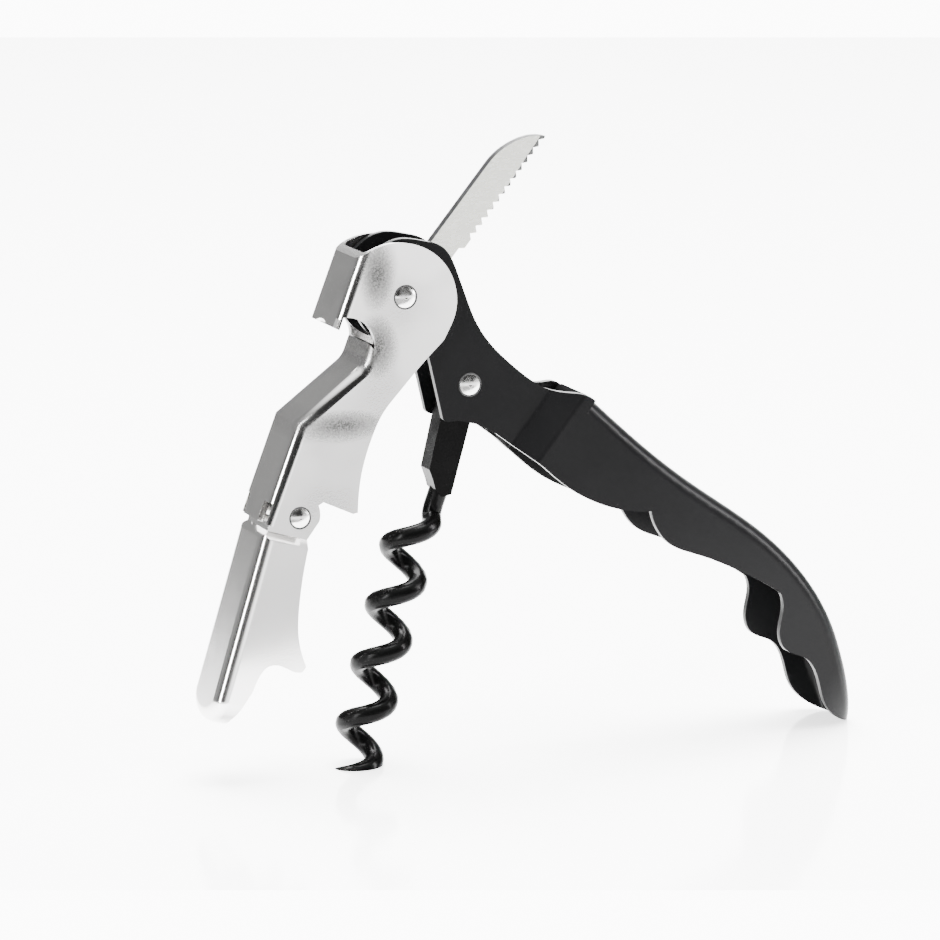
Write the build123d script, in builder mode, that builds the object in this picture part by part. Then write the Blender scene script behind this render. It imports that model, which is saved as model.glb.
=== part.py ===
"""Double-hinged waiter's-friend corkscrew, standing open on its worm and the end of its handle.

Millimetres, +Z up, floor at Z = 0. Every pivot runs along Y, and the whole tool is symmetric about Y = 0
apart from the worm. Each pressed part is drawn in its own side frame: x along the part, y towards the
handle's back for the handle, and towards the worm for the two levers.
"""
import os
from math import atan2, cos, radians, sin, tan

from build123d import *

# ---- pose: pivots and the direction of each part, degrees counter-clockwise from +X seen from the front
main_pivot = Vector(-23.78, 0, 77.15)
handle_angle = -38.7
upper_angle = -111.0
lower_angle = -106.8
worm_angle = -104.8
knife_angle = 50.6

# ---- sheet metal and nested widths, from the inside out
handle_sheet = 1.1
lever_sheet = 1.05
neck_half = 4.35  # outside of the handle's narrow neck
lever_half = 5.9  # outside of both levers
body_half = 7.3  # outside of the handle's body, whose inside takes the levers
joint_neck_half = 4.6  # outside of the lower lever's narrow top, inside the upper lever

# ---- rivets
rivet_radius = 1.5
running_gap = 0.06
main_head_radius = 1.75
main_head_height = 0.45
worm_head_radius = 1.7
worm_head_height = 0.3
joint_head_radius = 1.6
joint_head_height = 0.4
worm_pivot_at = (18.6, -4.6)  # in the handle's frame
joint_pivot_at = (38.5, -4.5)  # in the upper lever's frame

# ---- worm
wire_radius = 1.6
helix_radius = 3.0
helix_pitch = 9.95
helix_turns = 4.5
helix_offset = -2.05  # the coil's axis, off the pivot's line
helix_start = 22.8
shank_thickness = 3.8
shank_end = 15.0
wire_line = 1.02  # the straight wire below the shank, off the pivot's line
cheek_end = 18.2  # where the bar's right edge runs out into the wire
wire_start = 18.9

# ---- knife
blade_thickness = 1.6
blade_width = 5.4
tooth_pitch = 1.56
tooth_depth = 0.75
tooth_count = 13
first_tooth = 14.2


def frame_at(origin, angle):
    """The side frame of a part: x along it, y to its left, z towards the front."""
    turn = radians(angle)
    return Plane(origin=origin, x_dir=(cos(turn), 0, sin(turn)), z_dir=(0, -1, 0))


def plan_of(side):
    """The plan frame of a part: x along it, y across it, z along the side frame's y."""
    return Plane(origin=side.origin, x_dir=side.x_dir, z_dir=side.y_dir)


handle_side = frame_at(main_pivot, handle_angle)
upper_side = frame_at(main_pivot, upper_angle)
knife_side = frame_at(main_pivot, knife_angle)
worm_pivot = handle_side.from_local_coords(Vector(*worm_pivot_at, 0))
worm_side = frame_at(worm_pivot, worm_angle)
joint_pivot = upper_side.from_local_coords(Vector(*joint_pivot_at, 0))
lower_side = frame_at(joint_pivot, lower_angle)
hole_radius = rivet_radius + running_gap
far = 60  # longer than anything that is cut through


def finish(piece, name):
    """Label a finished piece and write it as its own STEP file."""
    piece.part.label = name
    export_step(piece.part, f"parts/{name}.step")


def on_axis(pivot, start):
    """A plane square to the pivot's axis, at a distance in front of the middle (negative is behind)."""
    return Plane(origin=pivot + Vector(0, -start, 0), x_dir=(1, 0, 0), z_dir=(0, -1, 0))


def ring(name, pivot, start, end, outer, inner):
    """A washer or spacer on a rivet, between two distances in front of the middle."""
    with BuildPart() as piece:
        with BuildSketch(on_axis(pivot, start)):
            Circle(outer)
            Circle(inner, mode=Mode.SUBTRACT)
        extrude(amount=end - start)
    finish(piece, name)


def rivet(name, pivot, half, head_radius, head_height):
    """A solid rivet with a low domed head on each side of a stack that is 2 x half wide."""
    dome = (head_radius**2 + head_height**2) / (2 * head_height)
    with BuildPart() as piece:
        with BuildSketch(on_axis(pivot, -half)):
            Circle(rivet_radius)
        extrude(amount=2 * half)
        for side in (1, -1):
            with BuildSketch(Plane(origin=pivot, x_dir=(1, 0, 0), z_dir=(0, 0, 1))):
                with BuildLine():
                    Line((0, side * half), (head_radius, side * half))
                    RadiusArc((head_radius, side * half), (0, side * (half + head_height)), -side * dome)
                    Line((0, side * (half + head_height)), (0, side * half))
                make_face()
            revolve(axis=Axis(pivot, (0, 1, 0)))
    finish(piece, name)


os.makedirs("parts", exist_ok=True)

# ---- handle: one pressed channel, narrowed by a joggle to an open-backed neck with a round head
neck_inner = neck_half - handle_sheet
joggle_start = 30.7
joggle_end = 35.0
joggle_bend = 1.2
spine_start = 36.0
nose_start = 101.0
nose_tip = 112.0
head_rear_radius = 8.0  # the head grows from this like a cam, which stops the raised lever
handle_bend = 2.6


def plan_outline(inset=0.0):
    """The handle seen on its back: neck, joggle, parallel body and an elliptical nose."""
    shift = inset * tan(atan2(body_half - neck_half, joggle_end - joggle_start) / 2)
    with BuildSketch() as outline:
        with BuildLine():
            FilletPolyline(
                (-14, 0),
                (-14, neck_half - inset),
                (joggle_start + shift, neck_half - inset),
                (joggle_end + shift, body_half - inset),
                (nose_start, body_half - inset),
                radius=joggle_bend,
            )
            EllipticalCenterArc(
                (nose_start, 0), nose_tip - nose_start - inset, body_half - inset, 0, arc_size=90
            )
            Line((nose_tip - inset, 0), (-14, 0))
        make_face()
        mirror(about=Plane.XZ)
    return outline.sketch


def back_outline(start, inset=0.0):
    """The body from the side, under the curve of its back, left open below. An inset moves it inwards."""
    curve = (  # x, y and the lean of the line that the inset follows, degrees from the handle's x
        (45, 4.97, 92),
        (52.5, 4.67, 90),
        (61, 4.83, 89),
        (77, 5.58, 90),
        (88, 4.05, 71),
        (97, 0.5, 57),
    )
    with BuildSketch() as outline:
        with BuildLine():
            back = Spline(
                (start, 5.6 - inset),
                *[(x - inset * cos(radians(lean)), y - inset * sin(radians(lean))) for x, y, lean in curve],
                (103.5 - inset * 0.74, -3.9 - inset * 0.67),
                (110.9 - inset * 0.74, -9.85 - inset * 0.67),
                (115.0 - inset * 0.74, -13.8 - inset * 0.67),
            )
            Polyline(back @ 1, (120, -40), (start, -40), back @ 0)
        make_face()
    return outline.sketch


def along(side, plane, tall, length):
    """Picks the long bend edges of a channel: on its sides, and on its back's side of the frame."""

    def chosen(edge):
        spot = plane.to_local_coords(edge.center())
        return abs(spot.Z) > side - 1 and tall(spot) and edge.length > length

    return chosen


with BuildPart() as handle_skin:
    with BuildSketch(plan_of(handle_side).offset(-30)):
        add(plan_outline())
    extrude(amount=60)
    with BuildSketch(handle_side):
        add(back_outline(spine_start))
    extrude(amount=far, both=True, mode=Mode.INTERSECT)
    fillet(edges().filter_by(along(body_half, handle_side, lambda p: p.Y > 0, 20)), handle_bend)

with BuildPart() as handle_hollow:
    with BuildSketch(plan_of(handle_side).offset(-30)):
        add(plan_outline(handle_sheet))
    extrude(amount=60)
    with BuildSketch(handle_side):
        add(back_outline(spine_start - 0.15, handle_sheet))
    extrude(amount=far, both=True, mode=Mode.INTERSECT)
    fillet(
        edges().filter_by(along(body_half - handle_sheet, handle_side, lambda p: p.Y > 0, 20)),
        handle_bend - handle_sheet,
    )

with BuildPart() as neck:
    with BuildSketch(plan_of(handle_side).offset(-30)):
        add(plan_outline())
        add(plan_outline(handle_sheet), mode=Mode.SUBTRACT)
    extrude(amount=60)
    with BuildSketch(handle_side):
        with BuildLine():
            waist = Spline(
                (5.2, 8.54),
                (8.6, 6.5),
                (12.5, 4.25),
                (17.0, 2.7),
                (22.0, 2.1),
                (27.0, 2.05),
                (30.6, 2.7),
                (32.8, 3.9),
                (34.6, 5.1),
                (spine_start + 1, 5.53),
                tangents=[(0.854, -0.52), (1, -0.05)],
            )
            cam = Spline(
                (-head_rear_radius, 0),
                (-8.0, 2.3),
                (-6.0, 6.85),
                (-2.4, 9.05),
                waist @ 0,
                tangents=[(0, 1), (0.854, -0.52)],
            )
            rear = ThreePointArc(cam @ 0, (-5.657, -5.657), (0, -head_rear_radius))
            under = ThreePointArc(rear @ 1, (4.8, -6.4), (7.35, -3.15))
            Polyline(
                under @ 1,
                (10.9, -5.8),
                (18.75, -12.0),
                (20.6, -10.3),
                (23.5, -9.0),
                (27.5, -8.25),
                (31.0, -8.15),
                (spine_start + 1, -8.1),
                waist @ 1,
            )
        make_face()
        fillet(vertices().sort_by_distance((18.75, -12.0))[0], 1.1)
        with Locations((0, 0), worm_pivot_at):
            Circle(hole_radius, mode=Mode.SUBTRACT)
    extrude(amount=far, both=True, mode=Mode.INTERSECT)

with BuildPart() as handle_shell:
    add(handle_skin.part)
    add(handle_hollow.part, mode=Mode.SUBTRACT)
    with BuildSketch(handle_side):
        with BuildLine():
            first = Spline((28, -8.2), (36, -8.1), (42, -8.3), (48.5, -7.2), (56.6, -3.1))
            second = Spline(first @ 1, (59.3, -4.8), (62.6, -5.5), (68, -4.1), (76, -2.0), (84.4, -0.7))
            third = Spline(
                second @ 1,
                (86.8, -2.7),
                (88.6, -5.9),
                (91.3, -7.6),
                (95.5, -6.7),
                (99.2, -7.9),
                (103.2, -10.6),
                (107.4, -11.2),
                (110.2, -10.35),
                (112.5, -8.6),
            )
            Polyline(third @ 1, (116, -8.6), (116, 12), (28, 12), first @ 0)
        make_face()
    extrude(amount=far, both=True, mode=Mode.INTERSECT)
    add(neck.part)
finish(handle_shell, "handle_shell")

# ---- upper lever: a pressed channel with the cap-lifter hook, a bottle-rim foot and the hinge ears
lever_bend = 1.9
hook_back = -9.8
lever_back = -10.2
hook_end = 8.2
lever_inner = lever_half - lever_sheet
tongue_start = 24.3
tongue_knee = 12.4
tongue_top = -2.75
tongue_end = 8.9
tongue_curve = 4.0
ear_end = 41.1
foot_at = 35.0


def upper_outline():
    """The upper lever from the side, before the notch behind the hook is cut: its tongue slopes inwards."""
    with BuildSketch() as outline:
        with BuildLine():
            crown = Spline(
                (-3.3, hook_back),
                (-6.9, -6.0),
                (-8.4, -0.7),
                (-6.1, 5.8),
                (-1.7, 8.75),
                (1.3, 9.1),
                (4.0, 8.8),
                (6.5, 7.8),
                tangents=[(-0.75, 0.66), (0.9, -0.44)],
            )
            edge = Spline(
                crown @ 1,
                (9.8, 6.3),
                (14.9, 4.3),
                (18.2, 3.1),
                (22.3, 2.6),
                (26.5, 2.7),
                (30.5, 3.3),
                (34.9, 4.6),
                tangents=[(0.9, -0.44), (0.94, 0.33)],
            )
            foot = Polyline(
                edge @ 1, (35.35, 3.9), (foot_at, -1.6), (35.9, -2.4), (40.3, -2.1), (ear_end, -3.6)
            )
            spine = Polyline(foot @ 1, (ear_end, lever_back), (tongue_start, lever_back))
            tongue = FilletPolyline(
                spine @ 1, (tongue_knee, tongue_top), (tongue_end, tongue_top), radius=tongue_curve
            )
            Polyline(tongue @ 1, (hook_end, hook_back), crown @ 0)
        make_face()
    return outline.sketch


with BuildPart() as lever_skin:
    with BuildSketch(upper_side):
        add(upper_outline())
        with Locations((0, 0), joint_pivot_at):
            Circle(hole_radius, mode=Mode.SUBTRACT)
    extrude(amount=lever_half, both=True)
    fillet(
        edges().filter_by(
            along(lever_half, upper_side, lambda p: p.Y < -9 or (9 < p.X < 24 and p.Y < -5), 5)
        ),
        lever_bend,
    )

with BuildPart() as lever_hollow:
    with BuildSketch(upper_side):
        with BuildLine():
            Polyline(
                (-20, hook_back + lever_sheet),
                (hook_end + 0.6, hook_back + lever_sheet),
                (hook_end + 0.6, tongue_top + lever_sheet),
            )
            tongue = FilletPolyline(
                (hook_end + 0.6, tongue_top + lever_sheet),
                (tongue_knee + 0.31, tongue_top + lever_sheet),
                (tongue_start + 0.29, lever_back + lever_sheet),
                radius=tongue_curve - lever_sheet,
            )
            Polyline(
                tongue @ 1,
                (50, lever_back + lever_sheet),
                (50, 20),
                (-20, 20),
                (-20, hook_back + lever_sheet),
            )
        make_face()
    extrude(amount=lever_inner, both=True)
    fillet(
        edges().filter_by(
            along(lever_inner, upper_side, lambda p: p.Y < -8 or (9 < p.X < 24.5 and p.Y < -4.5), 15)
        ),
        lever_bend - lever_sheet,
    )

relief_width = 2.2
with BuildPart() as upper_lever:
    add(lever_skin.part)
    add(lever_hollow.part, mode=Mode.SUBTRACT)
    with BuildSketch(upper_side):
        with BuildLine():
            notch = ThreePointArc((9.6, -1.85), (6.1, -4.9), (6.2, hook_back + lever_sheet))
            Polyline(
                notch @ 1,
                (hook_end + 1, hook_back + lever_sheet),
                (hook_end + 1, -4.5),
                (tongue_end, tongue_top),
                notch @ 0,
            )
        make_face()
    extrude(amount=far, both=True, mode=Mode.SUBTRACT)
    with BuildSketch(plan_of(upper_side).offset(lever_back - 1)):
        for side in (1, -1):
            # square relief notches at the ends of the bends, and the hook's corners cut back to the cheeks
            with Locations((ear_end, side * (lever_half - 1.6))):
                Rectangle(2 * 3.4, relief_width)
            with Locations((hook_end, side * lever_half)):
                Rectangle(2 * 1.5, 2 * 1.1)
        with Locations((hook_end + 4.4, 0)):
            Circle(5.0)
    extrude(amount=2.2, mode=Mode.SUBTRACT)
finish(upper_lever, "upper_lever")

# ---- lower lever: the second pressed channel, with a joggled neck that nests inside the upper lever
lower_back = -5.3
lower_bend = 2.1
shoulder_at = 3.3
shoulder_run = 1.3
ear_radius = 3.9
lower_end = 35.6
round_start = 31.3


def lower_plan(inset=0.0):
    """The lower lever seen on its back: narrow ears, shoulder, parallel body and a rounded end."""
    shift = inset * tan(atan2(lever_half - joint_neck_half, shoulder_run) / 2)
    with BuildSketch() as outline:
        with BuildLine():
            Polyline(
                (-8, 0),
                (-8, joint_neck_half - inset),
                (shoulder_at + shift, joint_neck_half - inset),
                (shoulder_at + shoulder_run + shift, lever_half - inset),
                (round_start, lever_half - inset),
            )
            EllipticalCenterArc(
                (round_start, 0), lower_end - round_start - inset, lever_half - inset, 0, arc_size=90
            )
            Line((lower_end - inset, 0), (-8, 0))
        make_face()
        mirror(about=Plane.XZ)
    return outline.sketch


def lower_outline():
    """The lower lever from the side, its ears round the hinge and its foot like a small tooth."""
    with BuildSketch() as outline:
        with BuildLine():
            edge = Spline(
                (shoulder_at, 2.7),
                (8, 3.05),
                (12, 3.6),
                (16.4, 4.5),
                (20, 5.85),
                (23.1, 7.9),
                tangents=[(1, 0.05), (0.8, 0.6)],
            )
            tooth = Polyline(edge @ 1, (24.1, 7.4), (24.3, 6.3), (23.8, 3.6))
            toe = Spline(
                tooth @ 1, (24.5, 1.4), (28.2, 0.2), (34.0, -1.6), tangents=[(-0.05, -1), (0.95, -0.3)]
            )
            Polyline(
                toe @ 1,
                (36, -1.6),
                (36, lower_back),
                (shoulder_at + shoulder_run, lower_back),
                (shoulder_at, -4.3),
                (1.2, -4.3),
                (0, -ear_radius),
            )
            round_ear = ThreePointArc((0, -ear_radius), (-ear_radius, 0), (0, ear_radius))
            Polyline(round_ear @ 1, (shoulder_at, 2.7))
        make_face()
    return outline.sketch


with BuildPart() as lower_skin:
    with BuildSketch(plan_of(lower_side).offset(-20)):
        add(lower_plan())
    extrude(amount=40)
    with BuildSketch(lower_side):
        add(lower_outline())
        Circle(hole_radius, mode=Mode.SUBTRACT)
    extrude(amount=far, both=True, mode=Mode.INTERSECT)
    fillet(
        edges().filter_by(along(lever_half, lower_side, lambda p: p.Y < lower_back + 0.2, 15)), lower_bend
    )

with BuildPart() as lower_hollow:
    with BuildSketch(plan_of(lower_side).offset(-20)):
        add(lower_plan(lever_sheet))
    extrude(amount=40)
    with BuildSketch(lower_side):
        with BuildLine():
            Polyline(
                (-20, -12),
                (1.2, -12),
                (1.2, -4.3 + lever_sheet),
                (shoulder_at + lever_sheet * 0.4, -4.3 + lever_sheet),
                (shoulder_at + shoulder_run + lever_sheet * 0.4, lower_back + lever_sheet),
                (60, lower_back + lever_sheet),
                (60, 20),
                (-20, 20),
                close=True,
            )
        make_face()
    extrude(amount=far, both=True, mode=Mode.INTERSECT)
    fillet(
        edges().filter_by(
            along(lever_half - lever_sheet, lower_side, lambda p: p.Y < lower_back + lever_sheet + 0.2, 15)
        ),
        lower_bend - lever_sheet,
    )

with BuildPart() as lower_lever:
    add(lower_skin.part)
    add(lower_hollow.part, mode=Mode.SUBTRACT)
finish(lower_lever, "lower_lever")

# ---- detent spring: a bent leaf inside the upper lever that bears on the lower lever's ears
spring_sheet = 0.4
spring_base = lever_back + lever_sheet
with BuildPart() as detent_spring:
    with BuildSketch(upper_side):
        with BuildLine():
            Polyline(
                (25.5, spring_base),
                (31.0, spring_base),
                (35.4, spring_base + 0.35),
                (37.6, spring_base + 0.1),
                (37.6, spring_base + 0.1 + spring_sheet),
                (35.3, spring_base + 0.35 + spring_sheet),
                (30.9, spring_base + spring_sheet),
                (25.5, spring_base + spring_sheet),
                close=True,
            )
        make_face()
    extrude(amount=3.2, both=True)
finish(detent_spring, "detent_spring")

# ---- knife: a straight serrated foil blade with a round tang on the main rivet
with BuildPart() as knife_blade:
    with BuildSketch(knife_side):
        with BuildLine():
            spine = Line((0, 0.0), (25.5, 0.0))
            tip = Spline(
                spine @ 1, (29.1, -0.6), (32.4, -2.3), (34.9, -5.25), tangents=[(1, 0), (0.45, -0.9)]
            )
            Polyline(tip @ 1, (34.6, -blade_width), (12.6, -blade_width), (12.0, -4.6), (0, -4.6), (0, 0))
        make_face()
        Circle(4.6)
        for tooth in range(tooth_count):
            start = first_tooth + tooth * tooth_pitch
            with BuildLine():
                Polyline(
                    (start, -blade_width - 0.1),
                    (start + tooth_pitch * 0.5, -blade_width + tooth_depth),
                    (start + tooth_pitch, -blade_width - 0.1),
                    close=True,
                )
            make_face(mode=Mode.SUBTRACT)
        Circle(hole_radius, mode=Mode.SUBTRACT)
    extrude(amount=blade_thickness / 2, both=True)
finish(knife_blade, "knife_blade")

# ---- worm: one wire, its flat shank bored for the rivet, wound into a right-handed open coil
shank_half = shank_thickness / 2
shank_eye = 2.75
helix_axis = Plane(
    origin=worm_side.from_local_coords(Vector(helix_start, helix_offset, 0)),
    x_dir=worm_side.y_dir,
    z_dir=worm_side.x_dir,
)
with BuildLine() as upright_coil:
    Helix(helix_pitch, helix_turns * helix_pitch, helix_radius)
coil = helix_axis.location * upright_coil.line
with BuildPart() as worm:
    with BuildSketch(Plane(origin=coil @ 0, z_dir=coil % 0)):
        Circle(wire_radius)
    sweep(path=coil, is_frenet=True)
    with BuildLine():
        bend = Spline(
            worm_side.from_local_coords(Vector(shank_end - 1, wire_line, 0)),
            worm_side.from_local_coords(Vector(shank_end + 2, wire_line, 0)),
            coil @ 0,
            tangents=[worm_side.x_dir, coil % 0],
        )
    with BuildSketch(Plane(origin=bend @ 0, z_dir=bend % 0)):
        Circle(wire_radius)
    sweep(path=bend)
    with BuildSketch(worm_side):
        Circle(shank_eye)
        with BuildLine():
            bar = Polyline(
                (shank_end, -2.3),
                (0, -shank_eye),
                (0, shank_eye),
                (cheek_end, 2.48),
                (wire_start, wire_line),
            )
            cove = ThreePointArc(bar @ 0, (16.2, -1.45), (17.9, -0.45))
            Line(cove @ 1, bar @ 1)
        make_face()
    extrude(amount=shank_half, both=True)
    with BuildSketch(worm_side):
        Circle(hole_radius)
    extrude(amount=far, both=True, mode=Mode.SUBTRACT)
    with BuildSketch(Plane.XY):
        Rectangle(400, 400)
    extrude(amount=-50, mode=Mode.SUBTRACT)
finish(worm, "worm")

# ---- rivets, and the rings that centre what turns on them
rivet("main_rivet", main_pivot, lever_half, main_head_radius, main_head_height)
rivet("worm_rivet", worm_pivot, neck_half, worm_head_radius, worm_head_height)
rivet("joint_rivet", joint_pivot, lever_half, joint_head_radius, joint_head_height)
ring_fit = 0.05
for name, side in (("front", 1), ("back", -1)):
    spans = {
        "knife_spacer": (main_pivot, blade_thickness / 2 + ring_fit, neck_inner, 3.1),
        "lever_washer": (main_pivot, neck_half, lever_inner - ring_fit, 4.0),
        "worm_spacer": (worm_pivot, shank_half + ring_fit, neck_inner, 2.7),
    }
    for kind, (pivot, inside, outside, radius) in spans.items():
        low, high = sorted((side * inside, side * outside))
        ring(f"{kind}_{name}", pivot, low, high, radius, hole_radius)
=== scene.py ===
"""A double-hinged waiter's-friend corkscrew on a pale studio table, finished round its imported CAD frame."""
from math import cos, pi, radians, sin

import bmesh
import bpy
from mathutils import Matrix, Vector


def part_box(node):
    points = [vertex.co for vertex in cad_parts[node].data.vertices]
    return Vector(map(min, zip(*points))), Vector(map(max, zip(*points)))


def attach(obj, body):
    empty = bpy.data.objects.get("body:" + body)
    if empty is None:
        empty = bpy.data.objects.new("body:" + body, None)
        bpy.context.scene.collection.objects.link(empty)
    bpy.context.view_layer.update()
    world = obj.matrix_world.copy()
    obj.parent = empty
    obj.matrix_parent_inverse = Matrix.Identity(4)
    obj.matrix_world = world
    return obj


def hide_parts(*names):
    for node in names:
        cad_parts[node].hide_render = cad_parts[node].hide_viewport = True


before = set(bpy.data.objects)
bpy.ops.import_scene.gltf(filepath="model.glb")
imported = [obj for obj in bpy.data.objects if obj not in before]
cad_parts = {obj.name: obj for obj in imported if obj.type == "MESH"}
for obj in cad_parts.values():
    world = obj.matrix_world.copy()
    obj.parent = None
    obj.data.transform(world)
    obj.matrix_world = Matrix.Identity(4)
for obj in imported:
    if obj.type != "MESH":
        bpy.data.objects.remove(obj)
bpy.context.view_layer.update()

# ---- studio: a camera a little to the left of the front and a little above the tool
view_azimuth = radians(-22)
view_elevation = radians(11.7)
view_distance = 0.9
view_centre = Vector((-0.010385, 0, 0.047037))
level = cos(view_elevation)
sight = Vector((-sin(view_azimuth) * level, cos(view_azimuth) * level, -sin(view_elevation)))
camera = bpy.data.objects.new("camera", bpy.data.cameras.new("camera"))
camera.data.lens = 213.7
camera.data.clip_start = 0.01
camera.location = view_centre - sight * view_distance
camera.rotation_euler = sight.to_track_quat("-Z", "Y").to_euler()
bpy.context.scene.collection.objects.link(camera)
bpy.context.scene.camera = camera


def add_node(tree, kind, operation=None, **inputs):
    """A shader node whose inputs are set by name, or by number as n0 and n1, from outputs or values."""
    node = tree.nodes.new(kind)
    if operation:
        node.operation = operation
    for name, value in inputs.items():
        socket = node.inputs[int(name[1]) if name in ("n0", "n1") else name.replace("_", " ")]
        if isinstance(value, bpy.types.NodeSocket):
            tree.links.new(value, socket)
        else:
            socket.default_value = value
    return node


def ramp(tree, value, low, high, at_low, at_high):
    """A smooth step of a value, from at_low below low to at_high above high."""
    node = add_node(tree, "ShaderNodeMapRange", Value=value, From_Min=low, From_Max=high)
    node.interpolation_type = "SMOOTHSTEP"
    node.inputs["To Min"].default_value = at_low
    node.inputs["To Max"].default_value = at_high
    return node.outputs["Result"]


def combine(tree, operation, first, second):
    """The sum, product or larger of two values."""
    return add_node(tree, "ShaderNodeMath", operation, n0=first, n1=second).outputs["Value"]


# the room: dark in front above the table, dim behind, bright overhead, with a white panel at the right of
# the back and a glow from below the table's front edge. The camera itself sees white all round.
seen_white = 11.5
world = bpy.data.worlds.new("studio")
world.use_nodes = True
bpy.context.scene.world = world
sky = world.node_tree
toward = add_node(sky, "ShaderNodeTexCoord").outputs["Generated"]
split = add_node(sky, "ShaderNodeSeparateXYZ", Vector=toward)
side, depth, rise = split.outputs["X"], split.outputs["Y"], split.outputs["Z"]
room = ramp(sky, depth, -0.35, 0.55, 0.03, 0.4)
overhead = ramp(sky, rise, 0.6, 0.95, 0.0, 4.0)
low = ramp(sky, rise, -0.1, -0.02, 1.0, 0.0)
below = combine(sky, "MULTIPLY", low, ramp(sky, rise, -0.27, -0.13, 0.9, 4.2))
panel = combine(sky, "MULTIPLY", ramp(sky, side, 0.05, 0.25, 0.0, 9.0), ramp(sky, rise, 0.3, 0.5, 1.0, 0.0))
panel = combine(sky, "MULTIPLY", panel, ramp(sky, depth, 0.5, 0.75, 0.0, 1.0))
glow = combine(sky, "ADD", combine(sky, "ADD", room, overhead), combine(sky, "ADD", below, panel))
seen = add_node(sky, "ShaderNodeMix", A=glow, B=seen_white)
sky.links.new(add_node(sky, "ShaderNodeLightPath").outputs["Is Camera Ray"], seen.inputs["Factor"])
sky.links.new(seen.outputs["Result"], sky.nodes["Background"].inputs["Strength"])
sky.nodes["Background"].inputs["Color"].default_value = (1, 1, 1, 1)


def softbox(name, place, width, height, power):
    """A rectangular light aimed at the middle of the tool."""
    lamp = bpy.data.lights.new(name, "AREA")
    lamp.shape = "RECTANGLE"
    lamp.size = width
    lamp.size_y = height
    lamp.energy = power
    box = bpy.data.objects.new(name, lamp)
    box.location = place
    box.rotation_euler = (view_centre - Vector(place)).to_track_quat("-Z", "Y").to_euler()
    bpy.context.scene.collection.objects.link(box)


softbox("left_strip", (-0.68, -0.30, 0.24), 0.16, 0.5, 10)
softbox("right_strip", (0.62, -0.26, 0.32), 0.12, 0.5, 8)
softbox("top_light", (0.05, 0.2, 0.95), 0.7, 0.7, 74)

# the table top, lit from within, ends just in front of the tool so that the sheet's flats see past its edge
table_half_width = 0.9
table_half_depth = 0.5
table_front = -0.085
shape = bmesh.new()
bmesh.ops.create_grid(shape, x_segments=1, y_segments=1, size=1)
bmesh.ops.scale(shape, vec=(table_half_width, table_half_depth, 1), verts=shape.verts)
bmesh.ops.translate(shape, vec=(0, table_front + table_half_depth, 0), verts=shape.verts)
bmesh.ops.rotate(shape, matrix=Matrix.Rotation(view_azimuth, 3, "Z"), verts=shape.verts)
floor = bpy.data.objects.new("floor", bpy.data.meshes.new("floor"))
shape.to_mesh(floor.data)
shape.free()
bpy.context.scene.collection.objects.link(floor)
table_top = bpy.data.materials.new("white_light_table")
table_top.use_nodes = True
finish = table_top.node_tree.nodes["Principled BSDF"]
finish.inputs["Base Color"].default_value = (0.9, 0.9, 0.9, 1)
finish.inputs["Roughness"].default_value = 0.12
finish.inputs["IOR"].default_value = 1.3
finish.inputs["Emission Color"].default_value = (1, 1, 1, 1)
finish.inputs["Emission Strength"].default_value = 2.0
floor.data.materials.append(table_top)


# ---- handle: one pressed steel channel, cut, folded and then powder coated a satin black. The coat is a
# little uneven, with the finest orange peel, and rounds over the cut edges.
def joined_shape(node):
    """A CAD node's shape with its loose triangles joined and its flat faces made whole."""
    shape = bmesh.new()
    shape.from_mesh(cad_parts[node].data)
    bmesh.ops.remove_doubles(shape, verts=shape.verts, dist=2e-6)
    bmesh.ops.dissolve_limit(shape, angle_limit=radians(0.6), verts=shape.verts, edges=shape.edges)
    return shape


def add_piece(name, shape):
    """A new object in the scene, made from a shape."""
    piece = bpy.data.objects.new(name, bpy.data.meshes.new(name))
    shape.to_mesh(piece.data)
    shape.free()
    bpy.context.scene.collection.objects.link(piece)
    return piece


def round_edges(piece, width, segments, angle):
    """Rounds the edges that are sharper than an angle in degrees."""
    rounding = piece.modifiers.new("rounded_edges", "BEVEL")
    rounding.width = width
    rounding.segments = segments
    rounding.limit_method = "ANGLE"
    rounding.angle_limit = radians(angle)
    return rounding


def pressed_copy(node, body, edge):
    """A copy of a pressed part with its cut edges rounded, standing for its CAD node."""
    piece = add_piece(node + "_sheet", joined_shape(node))
    piece.data.shade_smooth()
    round_edges(piece, edge, 3, 32).miter_outer = "MITER_ARC"
    weighting = piece.modifiers.new("flat_faces", "WEIGHTED_NORMAL")
    weighting.weight = 100
    weighting.keep_sharp = True
    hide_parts(node)
    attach(piece, body)
    return piece


def new_finish(name):
    """A material, its node tree, its surface shader and the place on the piece."""
    finish = bpy.data.materials.new(name)
    finish.use_nodes = True
    tree = finish.node_tree
    place = add_node(tree, "ShaderNodeTexCoord").outputs["Object"]
    return finish, tree, tree.nodes["Principled BSDF"], place


def noise(tree, place, scale, detail):
    """A noise over the surface, scale per metre."""
    return add_node(tree, "ShaderNodeTexNoise", Vector=place, Scale=scale, Detail=detail).outputs["Fac"]


def shade(tree, surface, value, first, second):
    """Colours a surface between two greys by a value."""
    tint = add_node(tree, "ShaderNodeValToRGB", Fac=value)
    tint.color_ramp.elements[0].color = (*first, 1)
    tint.color_ramp.elements[1].color = (*second, 1)
    tree.links.new(tint.outputs["Color"], surface.inputs["Base Color"])


def emboss(tree, surface, height, strength, distance):
    """Raises a fine relief on a surface."""
    relief = add_node(tree, "ShaderNodeBump", Height=height, Strength=strength, Distance=distance)
    tree.links.new(relief.outputs["Normal"], surface.inputs["Normal"])


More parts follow.
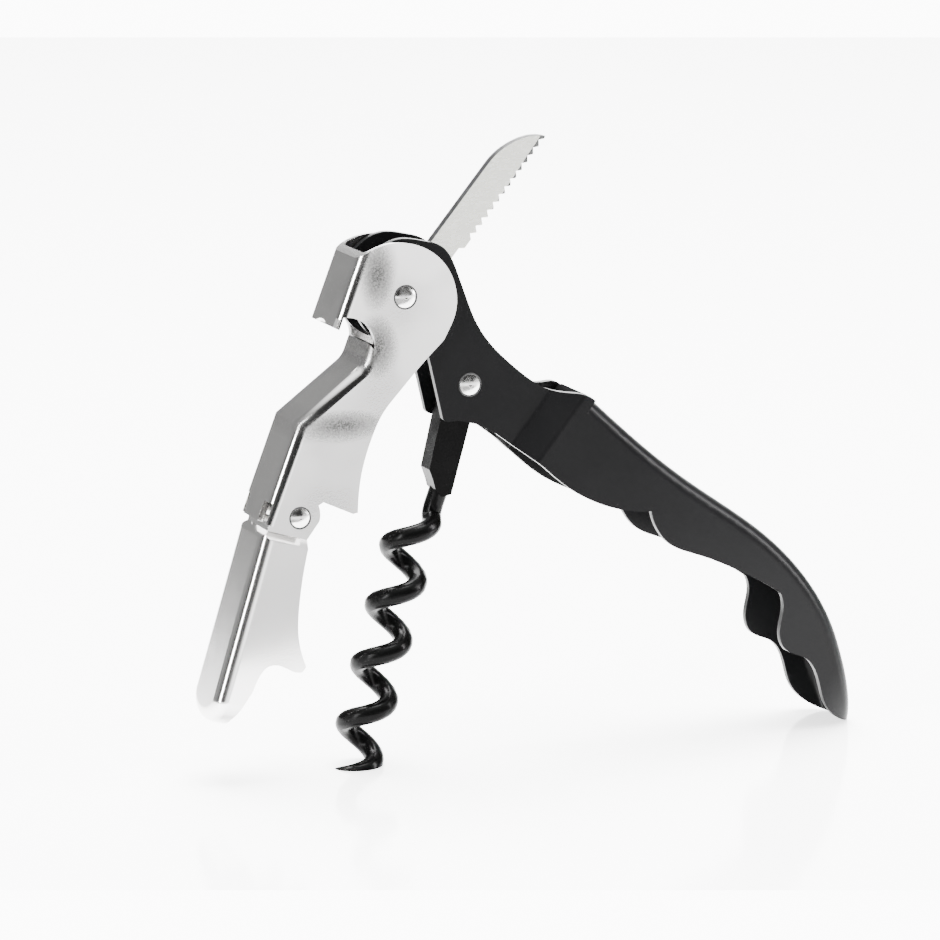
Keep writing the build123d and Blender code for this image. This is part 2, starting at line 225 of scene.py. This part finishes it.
def plain_metal(name, colour, wear_scale, smoothest, roughest):
    """A metal of one colour whose roughness varies with fine wear."""
    finish, tree, surface, place = new_finish(name)
    surface.inputs["Metallic"].default_value = 1.0
    surface.inputs["Base Color"].default_value = (*colour, 1)
    wear = ramp(tree, noise(tree, place, wear_scale, 3.0), 0.3, 0.7, smoothest, roughest)
    tree.links.new(wear, surface.inputs["Roughness"])
    return finish


def paint(piece, finish):
    """Gives a piece one material in place of those it came with."""
    piece.data.materials.clear()
    piece.data.materials.append(finish)


coat_rounding = 0.0002
black_coat, tree, surface, place = new_finish("satin_black_coat")
surface.inputs["IOR"].default_value = 1.17
cloud = noise(tree, place, 90.0, 3.0)
tree.links.new(ramp(tree, cloud, 0.0, 1.0, 0.27, 0.33), surface.inputs["Roughness"])
shade(tree, surface, cloud, (0.0035, 0.0035, 0.0037), (0.0055, 0.0055, 0.0058))
emboss(tree, surface, noise(tree, place, 2200.0, 2.0), 0.15, 0.00004)
handle = pressed_copy("handle_shell", "handle", coat_rounding)
paint(handle, black_coat)

# ---- bottle levers: two pressed channels of nickel-plated steel. The plate is smooth and bright on the
# flats. Three patches of the upper lever's cheeks are painted dark and speckled with a fine grain, as a
# painted
# reflection of the dark room: two beside the cap hook and its notch, and one across the bend below them.
plate_rounding = 0.00012
rivet_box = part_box("main_rivet")
main_pivot = (Vector(rivet_box[0]) + Vector(rivet_box[1])) / 2
# the three patches of painted reflection on the upper lever's cheeks
painted_reflection_patches = (  # each patch's middle in x and z from the main rivet, and its half size
    (Vector((-0.00472, 0, 0.00385)), (0.0032, 0.0062)),
    (Vector((-0.00472, 0, -0.00765)), (0.0036, 0.0058)),
    (Vector((-0.01072, 0, -0.01995)), (0.0085, 0.0027)),
)
nickel, tree, surface, place = new_finish("nickel_plate")
surface.inputs["Metallic"].default_value = 1.0
grain_and_painted_reflection = ramp(tree, noise(tree, place, 55.0, 2.0), 0.5, 0.7, 0.05, 0.3)
for middle, reach in painted_reflection_patches:
    offset = add_node(tree, "ShaderNodeVectorMath", "SUBTRACT", n0=place, n1=main_pivot + middle)
    sizes = (1 / reach[0], 0, 1 / reach[1])
    scaled = add_node(tree, "ShaderNodeVectorMath", "MULTIPLY", n0=offset.outputs["Vector"], n1=sizes)
    away = add_node(tree, "ShaderNodeVectorMath", "LENGTH", n0=scaled.outputs["Vector"]).outputs["Value"]
    grain_and_painted_reflection = combine(tree, "MAXIMUM", grain_and_painted_reflection, ramp(tree, away, 0.0, 1.45, 1.0, 0.0))
tree.links.new(ramp(tree, grain_and_painted_reflection, 0.0, 1.0, 0.13, 0.34), surface.inputs["Roughness"])
grain = noise(tree, place, 3600.0, 3.0)
speckle_and_painted_reflection = combine(tree, "MULTIPLY", grain_and_painted_reflection, ramp(tree, grain, 0.3, 0.65, 0.7, 1.0))
# painted reflection: the base colour goes near black in the three patches, speckled by the grain; elsewhere
# the grain darkens it a little at random
shade(tree, surface, speckle_and_painted_reflection, (0.80, 0.79, 0.78), (0.085, 0.084, 0.083))
waves = combine(tree, "MULTIPLY", noise(tree, place, 160.0, 1.0), 0.35)
rough_grain = combine(tree, "MULTIPLY", grain, grain_and_painted_reflection)
emboss(tree, surface, combine(tree, "ADD", rough_grain, waves), 0.5, 0.00006)
upper = pressed_copy("upper_lever", "upper_lever", plate_rounding)
paint(upper, nickel)
lower = pressed_copy("lower_lever", "lower_lever", plate_rounding)
paint(lower, nickel)

# ---- worm: one round steel wire, wound and pointed, with a flat shank bored for the rivet, coated black
gloss_coat, tree, surface, place = new_finish("glossy_black_coat")
surface.inputs["Base Color"].default_value = (0.002, 0.002, 0.002, 1)
surface.inputs["IOR"].default_value = 1.13
coat_wear = ramp(tree, noise(tree, place, 400.0, 3.0), 0.3, 0.7, 0.18, 0.3)
tree.links.new(coat_wear, surface.inputs["Roughness"])
paint(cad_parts["worm"], gloss_coat)

# ---- knife: a serrated blade stamped from stainless strip, its toothed edge ground thin from both sides,
# its back coloured dark and its ground bevel near black
blade_angle = radians(50.6)
heel = 0.0128  # the grinding starts this far along the blade
bevel_end = 0.0347  # the bevel's line ends this far along the blade
bevel_drop = 0.0044  # and this far below the rivet's line
bevel_tilt = 0.055  # and rises towards the blade's tip by this slope
thinnest = 0.3  # of the blade's thickness, at the teeth
grinding_slope = 480  # share of the thickness that is lost for each metre below the bevel's line
blade_axis = Vector((cos(blade_angle), 0, sin(blade_angle)))
blade_up = Vector((-blade_axis.z, 0, blade_axis.x))
bevel_from = main_pivot + blade_axis * bevel_end - blade_up * bevel_drop
bevel_along = (blade_axis + blade_up * bevel_tilt).normalized()
bevel_down = Vector((bevel_along.z, 0, -bevel_along.x))
shape = joined_shape("knife_blade")
everything = shape.verts[:] + shape.edges[:] + shape.faces[:]
bmesh.ops.bisect_plane(shape, geom=everything, dist=1e-6, plane_co=bevel_from, plane_no=bevel_down)
for vert in shape.verts:
    ground_by = (vert.co - bevel_from).dot(bevel_down)
    if ground_by > 1e-6 and (vert.co - main_pivot).dot(blade_axis) > heel:
        vert.co.y *= max(thinnest, 1 - ground_by * grinding_slope)
blade = add_piece("knife_blade_ground", shape)
round_edges(blade, 0.00008, 2, 40)
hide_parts("knife_blade")
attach(blade, "knife")
steel, tree, surface, place = new_finish("ground_steel")
surface.inputs["Metallic"].default_value = 1.0
stretch = (900, 900, 2600)
along = add_node(tree, "ShaderNodeMapping", Vector=place, Rotation=(0, blade_angle, 0), Scale=stretch)
lines = noise(tree, along.outputs["Vector"], 1.0, 3.0)
tree.links.new(ramp(tree, lines, 0.3, 0.7, 0.24, 0.38), surface.inputs["Roughness"])
shade(tree, surface, lines, (0.78, 0.78, 0.72), (0.9, 0.9, 0.84))
emboss(tree, surface, lines, 0.2, 0.00001)
paint(blade, steel)
blade.data.materials.append(plain_metal("dark_stamped_edge", (0.09, 0.09, 0.09), 900.0, 0.35, 0.5))
blade.data.materials.append(plain_metal("ground_bevel", (0.035, 0.035, 0.035), 2400.0, 0.3, 0.45))
for face in blade.data.polygons:
    past_heel = (face.center - main_pivot).dot(blade_axis) > heel
    if face.normal.dot(blade_up) > 0.5:
        face.material_index = 1
    elif (face.center - bevel_from).dot(bevel_down) > 0 and past_heel:
        face.material_index = 2

# ---- rivets: turned steel pins, their heads spun over to low bright domes
bright = plain_metal("polished_rivet_steel", (0.82, 0.81, 0.80), 900.0, 0.12, 0.28)
for name in ("main_rivet", "worm_rivet", "joint_rivet"):
    paint(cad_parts[name], bright)

# a thin ring of painted shadow lies in the crease where each head meets the sheet
crease_gap = 0.00012
crease_width = 0.00014
crease_height = 0.00011
crease_sides = 10
# painted shadow: a near-black finish for the rings, standing for the shade in the crease round each head; its
# roughness varies at random
painted_shadow_finish, tree, surface, place = new_finish("painted_rivet_shadow")
surface.inputs["Base Color"].default_value = (0.01, 0.01, 0.01, 1)
ring_roughness = ramp(tree, noise(tree, place, 900.0, 3.0), 0.3, 0.7, 0.4, 0.6)
tree.links.new(ring_roughness, surface.inputs["Roughness"])
for name, body, sheet_face, head_radius in (
    ("main", "upper_lever", 0.0059, 0.00175),
    ("worm", "handle", 0.00435, 0.0017),
    ("joint", "upper_lever", 0.0059, 0.0016),
):
    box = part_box(name + "_rivet")
    centre = (Vector(box[0]) + Vector(box[1])) / 2
    for end, way in (("front", -1), ("back", 1)):
        shape = bmesh.new()
        ring = []
        for k in range(crease_sides):
            turn = 2 * pi * k / crease_sides
            across = head_radius + crease_gap + crease_width * cos(turn)
            ring.append(shape.verts.new((across, 0, crease_height * sin(turn))))
        loop = [shape.edges.new((ring[k - 1], ring[k])) for k in range(crease_sides)]
        bmesh.ops.spin(
            shape, geom=ring + loop, cent=(0, 0, 0), axis=(0, 0, 1), angle=2 * pi, steps=48, use_merge=True
        )
        bmesh.ops.recalc_face_normals(shape, faces=shape.faces)
        bmesh.ops.rotate(shape, matrix=Matrix.Rotation(pi / 2, 3, "X"), verts=shape.verts)
        bmesh.ops.translate(shape, vec=(centre.x, way * sheet_face, centre.z), verts=shape.verts)
        shadow_ring = add_piece(name + "_painted_shadow_ring_" + end, shape)
        shadow_ring.data.shade_smooth()
        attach(shadow_ring, body)
        paint(shadow_ring, painted_shadow_finish)

# ---- washers and spacers inside the handle's neck, punched from plain steel, and the joint's blued spring
plain = plain_metal("plain_washer_steel", (0.55, 0.54, 0.52), 700.0, 0.3, 0.45)
for name in ("lever_washer", "knife_spacer", "worm_spacer"):
    paint(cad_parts[name + "_front"], plain)
    paint(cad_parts[name + "_back"], plain)
blued = plain_metal("blued_spring_steel", (0.36, 0.37, 0.40), 700.0, 0.22, 0.36)
paint(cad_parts["detent_spring"], blued)
